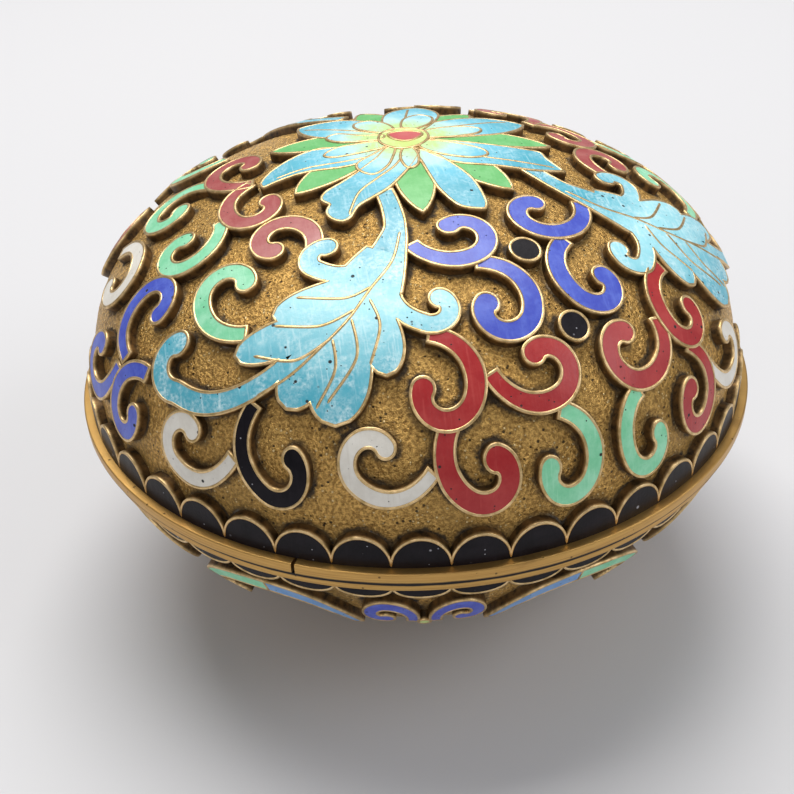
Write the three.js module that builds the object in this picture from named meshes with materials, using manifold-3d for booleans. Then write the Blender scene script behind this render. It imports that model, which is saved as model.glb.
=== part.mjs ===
// Round lidded trinket box in gilt brass with raised cloisonne enamel ornament.
// Millimetres, +Z up, origin at the centre of the underside. The lid is a hollow dome that lifts
// off; the bowl below it is hollow too and stands on a ring foot.
import * as THREE from 'three';
import { mergeVertices } from 'three/addons/utils/BufferGeometryUtils.js';
import Module from 'manifold-3d';

const wasm = await Module();
wasm.setup();

// ---- driving dimensions -------------------------------------------------------------------------
const RIM_RADIUS = 33;          // outside of the plain band round the lid
const LID_BAND_HEIGHT = 1.05;
const SEAT_HEIGHT = 21;         // underside of the lid band above the table
const PARTING_GAP = 0.4;        // dark line seen between the two bands
const BOWL_BAND_HEIGHT = 0.8;
const BOWL_BAND_RADIUS = 32.5;
const RELIEF = 0.85;            // height of the enamel cells above the gilt ground
const ROOT = 0.7;               // how far a cell's body reaches into the wall
const WALL = 0.9;               // brass wall under the ground
const JOINT_SLOT = 0.3;         // open butt joint in the lid's band
const JOINT_ANGLE = 252;        // where that joint is, degrees round from +X
const JOINT_CUT = 8;            // length of the cut that opens it
const COLLAR_HEIGHT = 1.8;      // upstand that keeps the lid in place
const COLLAR_CLEARANCE = 0.3;
const COLLAR_WALL = 0.8;
const FOOT_RADIUS = 14.2;
const FOOT_WALL = 1.2;
const FOOT_HEIGHT = 0.9;
const BASE_HEIGHT = 0.6;        // recessed base plate above the table

// outside of the enamel on the dome and on the bowl, as superellipse profiles
const DOME = { radius: 32.2, rise: 21.85, roundness: 1, flatness: 0.7337 };
const BOWL = { radius: 32.0, rise: 22.6, roundness: 1.066, flatness: 1.333 };

const AROUND = 28;              // facets round the shells
const OUTER_RINGS = 6;
const INNER_RINGS = 5;
const BAND_FACETS = 42;
const PROFILE_SAMPLES = 600;    // points at which a profile's arc length is measured
const WELD = 1e-4;              // points nearer than this are one
const STEP = 0.07;              // by which a cell that runs under its neighbour stands lower

// ---- ornament sizes, in the plan of the dome unrolled round its crown (mm) -----------------------
const FLOWER = [-0.5, 2.7];
const TAIL_SHARE = 0.42;        // share of a scroll over which its tail straightens out
const CURL_FROM = 0.6;          // share from which its head curls in
const TAIL_WIDTH = 0.8;         // width of the tail's end against the body
const TAIL_TAPER = 0.25;        // share over which the tail widens
const HEAD_WIDTH = 0.5;         // width of the head's blunt end against the body
const HOOK_STATIONS = 5;

// scrolls: [centre x, centre y, radius, start angle, sweep, tail flare, head curl, half width]
const SCROLLS = [
  [4.1, -14.5, 2.35, 190, 290, 1.7, 0.7, 0.82],
  [7.4, -21.5, 2.5, 115, -295, 2.2, 1.2, 0.86],
  [11.6, -10.2, 2.55, 38, -276, 1.8, 1.1, 0.84],
  [15.2, -17.6, 2.3, 115, 281, 2.4, 0.9, 0.88],
  [2.4, -28.9, 2.6, 104, -281, 2.0, 0.9, 0.82],
  [10.7, -26.8, 2.4, 190, 294, 2.1, 0.9, 0.82],
  [6.0, -35.3, 2.7, 131, 277, 2.0, 1.2, 0.98],
  [13.9, -34.0, 2.65, 110, -274, 1.9, 0.8, 0.86],
  [-3.8, -34.6, 2.3, 350, -305, 3.0, 0.6, 0.72],
  [-12.6, -33.9, 2.5, 101, 279, 3.2, 0.7, 0.8],
  [19.0, -23.0, 2.65, 58, -289, 1.8, 1.1, 0.84],
  [24.2, -17.3, 2.35, 113, 295, 2.3, 0.8, 0.82],
  [27.8, -24.1, 2.25, 123, -320, 2.6, 0.8, 0.82],
  [22.1, -29.9, 2.5, 120, 280, 1.7, 0.9, 0.82],
  [31.9, -16.3, 2.4, 230, 271, 2.6, 1.0, 0.74],
];
// scrolls of the side field, which stands again, mirrored, on the far side of the box
const SIDE_SCROLLS = [
  [-10.9, -12.8, 2.1, -47, 289, 1.6, 0.6, 0.8],
  [-13.7, -7.2, 2.25, 99, 279, 2.4, 0.8, 0.78],
  [-16.2, 1.5, 2.4, -65, -290, 2.1, 1.1, 0.8],
  [-15.6, -17.6, 2.4, 290, -272, 2.4, 0.6, 0.8],
  [-20.0, -10.3, 2.3, 39, -301, 1.6, 0.8, 0.78],
  [-22.5, -2.1, 2.4, 27, 294, 2.0, 1.1, 0.8],
  [-28.3, -8.0, 2.4, 97, -288, 2.4, 0.8, 0.76],
  [-23.7, -15.3, 2.35, 222, -272, 2.4, 0.65, 0.78],
  [-28.9, -22.6, 2.25, 13, 295, 2.1, 0.6, 0.84],
  [-32.2, -15.2, 2.5, -41, -287, 2.4, 1.0, 0.8],
  [-22.0, -29.2, 2.2, 332, -307, 3.6, 0.5, 0.78],
];
const FAR_SCROLLS = 4;          // of the side field, those that stand again on the far side
const LEAF_SCROLLS = [
  [-7.1, -16.1, 1.35, -17, -257, 2.6, 0.1, 0.85],
  [1.6, -22.0, 1.6, 137, 272, 2.8, 0.5, 0.8],
  [-20.4, -22.5, 2.45, 343, -249, 8.2, 0.6, 0.95],
];
// leaflets: [base x, base y, tip x, tip y, bend, half width]
const LEAF_LOBES = [
  [-2.2, -16.0, -6.0, -27.0, -0.4, 3.0],
  [-3.0, -18.5, -11.5, -21.2, 0.7, 1.7],
  [-4.0, -21.5, -15.0, -23.9, 0.5, 1.7],
  [-5.5, -24.0, -10.8, -29.3, -0.4, 2.0],
  [-4.5, -22.5, -6.7, -31.3, -0.3, 2.6],
  [-3.3, -21.0, -2.2, -27.8, 0.3, 1.6],
  [-0.9, -6.5, -2.4, -20.5, 1.0, 1.6],
];
const LOBE_STATIONS = [0, 0.35, 0.75, 1];
const LOBE_PEAK = 0.62;         // share of a leaflet's length at which it is widest
const LOBE_BASE = 0.5;          // widths of its base and its tip against its widest
const LOBE_TIP = 0.25;
// flower: [direction, length, half width] from the heart
const PETALS = [
  [207, 14.1, 2.4], [250, 15.3, 2.9], [298, 14.9, 2.2], [342, 15.5, 2.4],
  [27, 13.5, 2.7], [82, 11.5, 2.7], [145, 12.5, 2.7],
];
const SEPALS = [
  [224.5, 13.2, 1.9], [277, 14.0, 1.7], [314, 13.8, 1.9], [1, 14.0, 1.7],
  [50, 10.5, 1.7], [113, 10.5, 1.7], [176, 12.5, 1.7],
];
const FLOWER_STATIONS = 49;
const FLOWER_RINGS = 2;
const PETAL_PEAK = 0.6;         // share of a petal's length at which it is widest
const PETAL_BASE = 0.35;        // width at its base against its widest
const PETAL_ROUNDNESS = 0.8;
const FLOWER_CORE = 3;          // reach of the flower between two petals at least
const FLOWER_LIMIT = 17;
const FLOWER_TRIAL = 0.1;       // step at which the outline's reach is tried
const STUDS = [[9.6, -15.4], [13.4, -22.5]];
const STUD_RADIUS = 1.3;
const STUD_FACETS = 8;

// the ornament is symmetrical about a line through the flower
const MIRROR_ANGLE = 27.4;      // direction square to that line
const MIRROR_OFFSET = 1.2;      // its distance from the crown
const BACK_LEAF_TURN = -137.5;  // the third leaf is the first one turned round the flower
const BACK_LEAF_LOBES = 4;      // and is plainer

const LAPPETS = 42;             // half-round border tongues next to each band
const LAPPET_PHASE = -154.06;   // a cusp of the lid's border, degrees round from +X
const LID_LAPPET = 2.9;
const BOWL_LAPPET = 1.3;
const LAPPET_ROOT = 0.3;        // height of the border where two tongues meet
const LID_LAPPET_SHARES = [0, 0.22, 0.78];  // corners of one tongue, as shares of its width
const BOWL_LAPPET_SHARES = [0, 0.5];

// bowl scrolls, as mirrored pairs: centres lie this far in from the rim
const BOWL_PAIRS = 6;
const BOWL_PAIR_PHASE = 270.5;   // middle of the first pair, degrees round from +X
const BOWL_SCROLL_RING = 6.0;
const BOWL_SCROLL = [4.6, 0, 2.2, 215, -250, 1.6, 0.8, 0.85];

// ---- small helpers --------------------------------------------------------------------------------
const rad = (degrees) => degrees * Math.PI / 180;
const polar = (radius, degrees) => [radius * Math.cos(rad(degrees)), radius * Math.sin(rad(degrees))];

function solidFrom(positions, triangles) {
  const geometry = new THREE.BufferGeometry();
  geometry.setAttribute('position', new THREE.Float32BufferAttribute(positions, 3));
  geometry.setIndex(triangles);
  return solidOf(geometry);
}

function solidOf(geometry) {
  const bare = geometry.clone();
  bare.deleteAttribute('normal');
  bare.deleteAttribute('uv');
  const merged = mergeVertices(bare, WELD);
  return new wasm.Manifold(new wasm.Mesh({
    numProp: 3,
    vertProperties: new Float32Array(merged.attributes.position.array),
    triVerts: new Uint32Array(merged.index.array),
  }));
}

function geometryOf(solid) {
  const mesh = solid.getMesh();
  const geometry = new THREE.BufferGeometry();
  geometry.setAttribute('position', new THREE.Float32BufferAttribute(mesh.vertProperties, 3));
  geometry.setIndex(Array.from(mesh.triVerts));
  geometry.computeVertexNormals();
  return geometry;
}

function turned(profile, facets) {
  const geometry = new THREE.LatheGeometry(profile.map(([r, z]) => new THREE.Vector2(r, z)), facets);
  geometry.rotateX(Math.PI / 2);
  geometry.rotateZ(rad(LAPPET_PHASE));
  return geometry;
}

function fuse(solids) {
  return solids.reduce((whole, next) => whole.add(next));
}

// ---- curved faces: plan points <-> points on the dome or bowl -------------------------------------
class Shell {
  // side is +1 for the dome, whose crown is up, and -1 for the bowl
  constructor({ radius, rise, roundness, flatness }, edgeHeight, side) {
    this.side = side;
    this.edgeHeight = edgeHeight;
    this.profile = [];
    let arc = 0;
    for (let i = 0; i <= PROFILE_SAMPLES; i++) {
      const t = (Math.PI / 2) * (1 - (i / PROFILE_SAMPLES) ** 2);
      const r = radius * Math.cos(t) ** roundness;
      const z = edgeHeight + side * rise * Math.sin(t) ** flatness;
      const last = this.profile[i - 1];
      if (last) arc += Math.hypot(r - last.r, z - last.z);
      this.profile.push({ arc, r, z });
    }
    this.length = arc;
  }

  // radius, height and outward direction at a distance from the crown
  section(arc) {
    const p = this.profile;
    let i = p.findIndex((q) => q.arc >= arc);
    if (i < 1) i = arc <= 0 ? 1 : p.length - 1;
    const a = p[i - 1];
    const b = p[i];
    const share = Math.min(1, Math.max(0, (arc - a.arc) / (b.arc - a.arc)));
    const length = Math.hypot(b.r - a.r, b.z - a.z);
    return {
      r: a.r + share * (b.r - a.r),
      z: a.z + share * (b.z - a.z),
      outR: this.side * (a.z - b.z) / length,
      outZ: this.side * (b.r - a.r) / length,
    };
  }

  // a plan point carried onto the surface, sunk by depth
  place([x, y], depth) {
    const { r, z, outR, outZ } = this.section(Math.min(Math.hypot(x, y), this.length));
    const turn = Math.atan2(y, x);
    const radius = Math.max(0, r - depth * outR);
    return [radius * Math.cos(turn), radius * Math.sin(turn), z - depth * outZ];
  }

  // round rings from the crown to a distance short of the edge, sunk by depth
  rings(depth, steps, short) {
    const rings = [];
    for (let i = 0; i <= steps; i++) {
      const arc = (this.length - short) * Math.sin((i / steps) * Math.PI / 2);
      const { r, z, outR, outZ } = this.section(arc);
      const height = i === steps && short === 0 ? this.edgeHeight : z - depth * outZ;
      rings.push(i === 0 ? [[0, [0, 0, z - this.side * depth]]] : roundRing(r - depth * outR, height));
    }
    return rings;
  }
}

const LID_EDGE = SEAT_HEIGHT + LID_BAND_HEIGHT;
const BOWL_EDGE = SEAT_HEIGHT - PARTING_GAP - BOWL_BAND_HEIGHT;
const dome = new Shell(DOME, LID_EDGE, 1);
const bowl = new Shell(BOWL, BOWL_EDGE, -1);

// ---- raised cells ---------------------------------------------------------------------------------
// A ladder of plan points, left and right, raised on a shell and closed below its ground.
function raised(shell, ladder, sink) {
  const positions = [];
  const triangles = [];
  ladder.forEach(([left, right], i) => {
    const drop = Array.isArray(sink) ? sink[i] : sink;
    positions.push(...shell.place(left, drop), ...shell.place(right, drop));
    positions.push(...shell.place(left, RELIEF + ROOT), ...shell.place(right, RELIEF + ROOT));
  });
  const quad = (a, b, c, d) => triangles.push(a, b, c, a, c, d);
  const [topLeft, topRight, lowLeft, lowRight] = [0, 1, 2, 3];
  for (let i = 0; i + 1 < ladder.length; i++) {
    const a = 4 * i;
    const b = a + 4;
    quad(a + topLeft, a + topRight, b + topRight, b + topLeft);
    quad(a + lowRight, a + lowLeft, b + lowLeft, b + lowRight);
    quad(a + lowLeft, a + topLeft, b + topLeft, b + lowLeft);
    quad(a + topRight, a + lowRight, b + lowRight, b + topRight);
  }
  const end = 4 * (ladder.length - 1);
  quad(topRight, topLeft, lowLeft, lowRight);
  quad(end + topLeft, end + topRight, end + lowRight, end + lowLeft);
  const faces = shell.side > 0 ? triangles : flipped(triangles);
  return solidFrom(positions, faces);
}

function flipped(triangles) {
  return triangles.map((_, i) => triangles[i - (i % 3) + [0, 2, 1][i % 3]]);
}

function ladderAlong(points, halfWidths) {
  return points.map(([x, y], i) => {
    const a = points[Math.max(0, i - 1)];
    const b = points[Math.min(points.length - 1, i + 1)];
    const length = Math.hypot(b[0] - a[0], b[1] - a[1]);
    const across = [-(b[1] - a[1]) / length, (b[0] - a[0]) / length];
    const w = halfWidths[i];
    return [[x + across[0] * w, y + across[1] * w], [x - across[0] * w, y - across[1] * w]];
  });
}

function scrollLadder([cx, cy, radius, start, sweep, tail, curl, half]) {
  const points = [];
  const widths = [];
  for (let i = 0; i <= HOOK_STATIONS; i++) {
    const s = i / HOOK_STATIONS;
    const flare = tail * Math.max(0, 1 - s / TAIL_SHARE) ** 2;
    const tuck = curl * Math.max(0, (s - CURL_FROM) / (1 - CURL_FROM)) ** 2;
    const [dx, dy] = polar(radius + flare - tuck, start + sweep * s);
    points.push([cx + dx, cy + dy]);
    widths.push(half * (TAIL_WIDTH + (1 - TAIL_WIDTH) * Math.min(1, s / TAIL_TAPER)));
  }
  // round head
  const [a, b] = points.slice(-2);
  const length = Math.hypot(b[0] - a[0], b[1] - a[1]);
  points.push([b[0] + (b[0] - a[0]) / length * half, b[1] + (b[1] - a[1]) / length * half]);
  widths.push(half * HEAD_WIDTH);
  return ladderAlong(points, widths);
}

function lobeWidth(s) {
  if (s < LOBE_PEAK) return LOBE_BASE + (1 - LOBE_BASE) * Math.sin((Math.PI / 2) * s / LOBE_PEAK);
  return Math.max(LOBE_TIP, Math.sqrt(1 - ((s - LOBE_PEAK) / (1 - LOBE_PEAK)) ** 2));
}

function lobeLadder([bx, by, tx, ty, bend, half]) {
  const length = Math.hypot(tx - bx, ty - by);
  const across = [-(ty - by) / length, (tx - bx) / length];
  const points = [];
  const widths = [];
  for (const s of LOBE_STATIONS) {
    const off = bend * 4 * s * (1 - s);
    points.push([bx + (tx - bx) * s + across[0] * off, by + (ty - by) * s + across[1] * off]);
    widths.push(half * lobeWidth(s));
  }
  return ladderAlong(points, widths);
}

const mirrored = (ladder) => ladder.map(([left, right]) => [mirrorPoint(right), mirrorPoint(left)]);

function mirrorPoint([x, y]) {
  const [nx, ny] = polar(1, MIRROR_ANGLE);
  const k = 2 * (MIRROR_OFFSET - x * nx - y * ny);
  return [x + k * nx, y + k * ny];
}

function turnedRound([x, y], degrees) {
  const [c, s] = polar(1, degrees);
  const dx = x - FLOWER[0];
  const dy = y - FLOWER[1];
  return [FLOWER[0] + c * dx - s * dy, FLOWER[1] + s * dx + c * dy];
}

// Neighbouring cells stand at slightly different heights, so that one runs cleanly under the other.
function scroll(shell, ladder) {
  const drops = ladder.map((_, i) => (i === 0 ? 2 * STEP : i === 1 ? STEP : 0));
  return raised(shell, ladder, drops);
}

function leaf(change, lobeCount = LEAF_LOBES.length) {
  const rows = LEAF_LOBES.slice(0, lobeCount);
  const lobes = rows.map((row, i) => raised(dome, change(lobeLadder(row)), STEP * (1 + i)));
  const scrolls = LEAF_SCROLLS.map((row) => raised(dome, change(scrollLadder(row)), 0));
  return [...lobes, ...scrolls];
}

// A round form whose reach from its middle is a function of direction.
function rosette(shell, middle, stations, rings, reach, sink) {
  const positions = [...shell.place(middle, sink), ...shell.place(middle, RELIEF + ROOT)];
  const triangles = [];
  const at = (ring, k) => 2 + (k % stations) * (rings + 1) + ring;
  for (let k = 0; k < stations; k++) {
    const direction = 360 * k / stations;
    for (let ring = 1; ring <= rings + 1; ring++) {
      const share = Math.min(ring, rings) / rings;
      const [dx, dy] = polar(share * reach(direction), direction);
      const depth = ring > rings ? RELIEF + ROOT : sink;
      positions.push(...shell.place([middle[0] + dx, middle[1] + dy], depth));
    }
  }
  for (let k = 0; k < stations; k++) {
    triangles.push(0, at(0, k), at(0, k + 1), 1, at(rings, k + 1), at(rings, k));
    for (let ring = 0; ring < rings; ring++) {
      const [a, b, c, d] = [at(ring, k), at(ring + 1, k), at(ring + 1, k + 1), at(ring, k + 1)];
      triangles.push(a, b, c, a, c, d);
    }
  }
  return solidFrom(positions, shell.side > 0 ? triangles : flipped(triangles));
}

function flowerReach(direction) {
  for (let r = FLOWER_LIMIT; r > FLOWER_CORE; r -= FLOWER_TRIAL) {
    for (const [toward, length, half] of [...PETALS, ...SEPALS]) {
      const off = rad(direction - toward);
      const along = r * Math.cos(off) / length;
      const inside = along > 0 && along < 1 && Math.abs(r * Math.sin(off)) < half * petalWidth(along);
      if (inside) return r;
    }
  }
  return FLOWER_CORE;
}

function petalWidth(s) {
  if (s < PETAL_PEAK) return PETAL_BASE + (1 - PETAL_BASE) * Math.sin((Math.PI / 2) * s / PETAL_PEAK);
  return Math.max(0, 1 - ((s - PETAL_PEAK) / (1 - PETAL_PEAK)) ** 2) ** PETAL_ROUNDNESS;
}

// ---- hollow shells with their border of half-round tongues --------------------------------------
// A ring is a list of [direction, point], round the axis once; a single point stands for a pole.
function evenRing(facets, point) {
  return Array.from({ length: facets }, (_, k) => [k / facets, point(k / facets)]);
}

function roundRing(r, z, facets = AROUND) {
  return evenRing(facets, (share) => [...polar(r, LAPPET_PHASE + 360 * share), z]);
}

// Joins rings, which may differ in their number of points, into one closed skin.
function skinOf(rings) {
  const positions = rings.flat().flatMap(([, point]) => point);
  const triangles = [];
  let base = 0;
  for (let i = 0; i + 1 < rings.length; i++) {
    const [near, far] = [rings[i], rings[i + 1]];
    const nextBase = base + near.length;
    let [a, b] = [0, 0];
    const nearStop = near.length > 1 ? near.length : 0;
    const farStop = far.length > 1 ? far.length : 0;
    const directionOf = (ring, k) => (k < ring.length ? ring[k][0] : 1);
    while (a < nearStop || b < farStop) {
      const nearIndex = base + (a % near.length);
      const farIndex = nextBase + (b % far.length);
      const nearNext = a < nearStop ? directionOf(near, a + 1) : Infinity;
      const farNext = b < farStop ? directionOf(far, b + 1) : Infinity;
      if (nearNext < farNext) {
        a += 1;
        triangles.push(nearIndex, farIndex, base + (a % near.length));
      } else {
        b += 1;
        triangles.push(nearIndex, farIndex, nextBase + (b % far.length));
      }
    }
    base = nextBase;
  }
  return solidFrom(positions, triangles);
}

// The three rings of a border of tongues: its foot on the ground, its top edge and its rim.
function borderRings(shell, height, shares) {
  const stations = [];
  for (let k = 0; k < LAPPETS; k++) {
    for (const share of shares) {
      const rise = LAPPET_ROOT + (height - LAPPET_ROOT) * Math.sqrt(1 - (2 * share - 1) ** 2);
      stations.push([(k + share) / LAPPETS, rise]);
    }
  }
  const ringAt = (arcOf, depth) => stations.map(([turn, rise]) => {
    const point = shell.place(polar(arcOf(rise), LAPPET_PHASE + 360 * turn), depth);
    return [turn, point];
  });
  const level = ([turn, [x, y]]) => [turn, [x, y, shell.edgeHeight]];
  return [
    ringAt((rise) => shell.length - rise, RELIEF),
    ringAt((rise) => shell.length - rise, STEP),
    ringAt(() => shell.length, STEP).map(level),
  ];
}

// ---- the pieces -----------------------------------------------------------------------------------
function makeLid() {
  const shell = skinOf([
    ...dome.rings(RELIEF, OUTER_RINGS, LID_LAPPET),
    ...borderRings(dome, LID_LAPPET, LID_LAPPET_SHARES),
    ...dome.rings(RELIEF + WALL, INNER_RINGS, 0).reverse(),
  ]);
  const same = (ladder) => ladder;
  const turnBack = (ladder) => ladder.map((pair) => pair.map((p) => turnedRound(p, BACK_LEAF_TURN)));
  const farScrolls = SIDE_SCROLLS.slice(0, FAR_SCROLLS);
  const cells = [
    rosette(dome, FLOWER, FLOWER_STATIONS, FLOWER_RINGS, flowerReach, -STEP),
    ...leaf(same),
    ...leaf(mirrored),
    ...leaf(turnBack, BACK_LEAF_LOBES),
    ...SCROLLS.map((row) => scroll(dome, scrollLadder(row))),
    ...SIDE_SCROLLS.map((row) => scroll(dome, scrollLadder(row))),
    ...farScrolls.map((row) => scroll(dome, mirrored(scrollLadder(row)))),
    ...STUDS.map((middle) => rosette(dome, middle, STUD_FACETS, 1, () => STUD_RADIUS, 0)),
  ];
  return fuse([shell, ...cells]);
}

function makeLidBand() {
  const inner = DOME.radius - RELIEF - WALL;
  const section = [
    [inner, SEAT_HEIGHT], [RIM_RADIUS, SEAT_HEIGHT], [RIM_RADIUS, LID_EDGE],
    [inner, LID_EDGE], [inner, SEAT_HEIGHT],
  ];
  const slot = new THREE.BoxGeometry(JOINT_CUT, JOINT_SLOT, 3 * LID_BAND_HEIGHT);
  slot.translate(RIM_RADIUS, 0, SEAT_HEIGHT + LID_BAND_HEIGHT / 2);
  slot.rotateZ(rad(JOINT_ANGLE));
  return solidOf(turned(section, BAND_FACETS)).subtract(solidOf(slot));
}

function makeBowlBand() {
  const collarOuter = DOME.radius - RELIEF - WALL - COLLAR_CLEARANCE;
  const collarInner = collarOuter - COLLAR_WALL;
  const ledge = DOME.radius - RELIEF;
  const top = SEAT_HEIGHT - PARTING_GAP;
  const section = [
    [collarInner, BOWL_EDGE], [BOWL_BAND_RADIUS, BOWL_EDGE], [BOWL_BAND_RADIUS, top], [ledge, top],
    [ledge, SEAT_HEIGHT], [collarOuter, SEAT_HEIGHT], [collarOuter, SEAT_HEIGHT + COLLAR_HEIGHT],
    [collarInner, SEAT_HEIGHT + COLLAR_HEIGHT], [collarInner, BOWL_EDGE],
  ];
  return solidOf(turned(section, BAND_FACETS));
}

function makeBowl() {
  const isWall = (floor) => ([[, [x, y, z]]]) => z > floor && Math.hypot(x, y) > FOOT_RADIUS;
  const floor = FOOT_HEIGHT + WALL;
  const well = FOOT_RADIUS - FOOT_WALL;
  const shell = skinOf([
    [[0, [0, 0, BASE_HEIGHT]]],
    roundRing(well, BASE_HEIGHT),
    roundRing(well, 0),
    roundRing(FOOT_RADIUS, 0),
    roundRing(FOOT_RADIUS, FOOT_HEIGHT),
    ...bowl.rings(RELIEF, OUTER_RINGS, BOWL_LAPPET).filter(isWall(FOOT_HEIGHT)),
    ...borderRings(bowl, BOWL_LAPPET, BOWL_LAPPET_SHARES),
    ...bowl.rings(RELIEF + WALL, INNER_RINGS, 0).filter(isWall(floor + WALL)).reverse(),
    roundRing(well, floor),
    [[0, [0, 0, floor]]],
  ].reverse());
  return fuse([shell, ...bowlScrolls()]);
}

// The two scrolls of a pair mirror each other, with their heads towards the pair's middle.
function bowlScrolls() {
  const cells = [];
  const ring = bowl.length - BOWL_SCROLL_RING;
  for (let k = 0; k < BOWL_PAIRS; k++) {
    const middle = BOWL_PAIR_PHASE + k * 360 / BOWL_PAIRS;
    for (const side of [-1, 1]) {
      const place = ([x, y]) => polar(ring + y, middle + side * THREE.MathUtils.radToDeg(x / ring));
      const ladder = scrollLadder(BOWL_SCROLL).map(([left, right]) => (
        side > 0 ? [place(right), place(left)] : [place(left), place(right)]
      ));
      cells.push(scroll(bowl, ladder));
    }
  }
  return cells;
}

// ---- the assembly ---------------------------------------------------------------------------------
const GILT = { color: 0xb98a3c, roughness: 0.42, metalness: 0.9 };
const BRIGHT_GILT = { color: 0xc39a4a, roughness: 0.3, metalness: 1.0 };

function piece(name, solid, finish) {
  const mesh = new THREE.Mesh(geometryOf(solid), new THREE.MeshStandardMaterial(finish));
  mesh.name = name;
  return mesh;
}

const box = new THREE.Group();
box.add(
  piece('bowl', makeBowl(), GILT),
  piece('bowl_rim_band', makeBowlBand(), BRIGHT_GILT),
  piece('lid', makeLid(), GILT),
  piece('lid_rim_band', makeLidBand(), BRIGHT_GILT),
);

export default box;
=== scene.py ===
import math

import bpy
import numpy as np
from bpy.props import FloatProperty, FloatVectorProperty, IntProperty, PointerProperty
from mathutils import Matrix, Vector, kdtree, noise
from mathutils.geometry import delaunay_2d_cdt


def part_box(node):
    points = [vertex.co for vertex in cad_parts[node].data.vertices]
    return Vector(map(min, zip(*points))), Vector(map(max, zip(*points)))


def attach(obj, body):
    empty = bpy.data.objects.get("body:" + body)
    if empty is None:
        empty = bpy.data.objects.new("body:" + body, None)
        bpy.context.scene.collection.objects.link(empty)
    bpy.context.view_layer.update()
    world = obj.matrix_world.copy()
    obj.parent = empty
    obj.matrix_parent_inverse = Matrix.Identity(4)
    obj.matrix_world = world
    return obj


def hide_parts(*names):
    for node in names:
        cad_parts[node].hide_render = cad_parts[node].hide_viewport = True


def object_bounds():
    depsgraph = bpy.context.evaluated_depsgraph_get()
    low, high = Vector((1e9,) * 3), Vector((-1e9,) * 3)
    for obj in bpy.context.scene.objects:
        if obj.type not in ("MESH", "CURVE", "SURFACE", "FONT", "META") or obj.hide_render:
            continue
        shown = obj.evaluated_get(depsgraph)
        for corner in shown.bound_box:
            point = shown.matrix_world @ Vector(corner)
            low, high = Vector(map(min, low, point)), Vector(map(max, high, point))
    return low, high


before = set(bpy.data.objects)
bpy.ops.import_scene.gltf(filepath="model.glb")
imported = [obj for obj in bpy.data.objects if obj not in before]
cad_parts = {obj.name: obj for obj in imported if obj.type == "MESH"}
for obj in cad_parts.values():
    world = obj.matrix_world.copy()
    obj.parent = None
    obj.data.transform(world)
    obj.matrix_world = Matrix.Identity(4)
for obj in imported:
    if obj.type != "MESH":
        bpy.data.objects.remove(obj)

bl_info = {
    "name": "Cloisonne Box",
    "version": (1, 0, 0),
    "blender": (4, 5, 0),
    "location": "3D View > Sidebar > Cloisonne Box",
    "description": "Builds a round lidded box with raised cloisonne enamel ornament",
    "category": "Add Mesh",
}

CAD_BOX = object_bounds()
MM = 0.001
BODY = "root"


def millimetres(node):
    """Lowest and highest corner of a CAD node, in millimetres."""
    return tuple(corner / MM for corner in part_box(node))


LID_LOW, LID_HIGH = millimetres("lid")
BOWL_LOW, BOWL_HIGH = millimetres("bowl")
LID_BAND_LOW, LID_BAND_HIGH = millimetres("lid_rim_band")
BOWL_BAND_LOW, BOWL_BAND_HIGH = millimetres("bowl_rim_band")

# ---- the ornament, in the plan of the dome unrolled round its crown (mm) ---------------------------
# scroll: finish, centre x, centre y, radius, start angle, sweep, tail flare, head curl, half width
SCROLLS = [
    ("blue", 4.1, -14.5, 2.35, 190, 290, 1.7, 0.7, 0.82),
    ("blue", 7.4, -21.5, 2.5, 115, -295, 2.2, 1.2, 0.86),
    ("blue", 11.6, -10.2, 2.55, 38, -276, 1.8, 1.1, 0.84),
    ("blue", 15.2, -17.6, 2.3, 115, 281, 2.4, 0.9, 0.88),
    ("red", 2.4, -28.9, 2.6, 104, -281, 2.0, 0.9, 0.82),
    ("red", 10.7, -26.8, 2.4, 190, 294, 2.1, 0.9, 0.82),
    ("red", 6.0, -35.3, 2.7, 131, 277, 2.0, 1.2, 0.98),
    ("mint", 13.9, -34.0, 2.65, 110, -274, 1.9, 0.8, 0.86),
    ("white", -3.8, -34.6, 2.3, 350, -305, 3.0, 0.6, 0.72),
    ("black", -12.6, -33.9, 2.5, 101, 279, 3.2, 0.7, 0.8),
    ("red", 19.0, -23.0, 2.65, 58, -289, 1.8, 1.1, 0.84),
    ("red", 24.2, -17.3, 2.35, 113, 295, 2.3, 0.8, 0.82),
    ("red", 27.8, -24.1, 2.25, 123, -320, 2.6, 0.8, 0.82),
    ("mint", 22.1, -29.9, 2.5, 120, 280, 1.7, 0.9, 0.82),
    ("white", 31.9, -16.3, 2.4, 230, 271, 2.6, 1.0, 0.74),
]
SIDE_SCROLLS = [
    ("rose", -10.9, -12.8, 2.1, -47, 289, 1.6, 0.6, 0.8),
    ("rose", -13.7, -7.2, 2.25, 99, 279, 2.4, 0.8, 0.78),
    ("rose", -16.2, 1.5, 2.4, -65, -290, 2.1, 1.1, 0.8),
    ("mint", -15.6, -17.6, 2.4, 290, -272, 2.4, 0.6, 0.8),
    ("mint", -20.0, -10.3, 2.3, 39, -301, 1.6, 0.8, 0.78),
    ("mint", -22.5, -2.1, 2.4, 27, 294, 2.0, 1.1, 0.8),
    ("white", -28.3, -8.0, 2.4, 97, -288, 2.4, 0.8, 0.76),
    ("blue", -23.7, -15.3, 2.35, 222, -272, 2.4, 0.65, 0.78),
    ("blue", -28.9, -22.6, 2.25, 13, 295, 2.1, 0.6, 0.84),
    ("blue", -32.2, -15.2, 2.5, -41, -287, 2.4, 1.0, 0.8),
    ("white", -22.0, -29.2, 2.2, 332, -307, 3.6, 0.5, 0.78),
]
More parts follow.
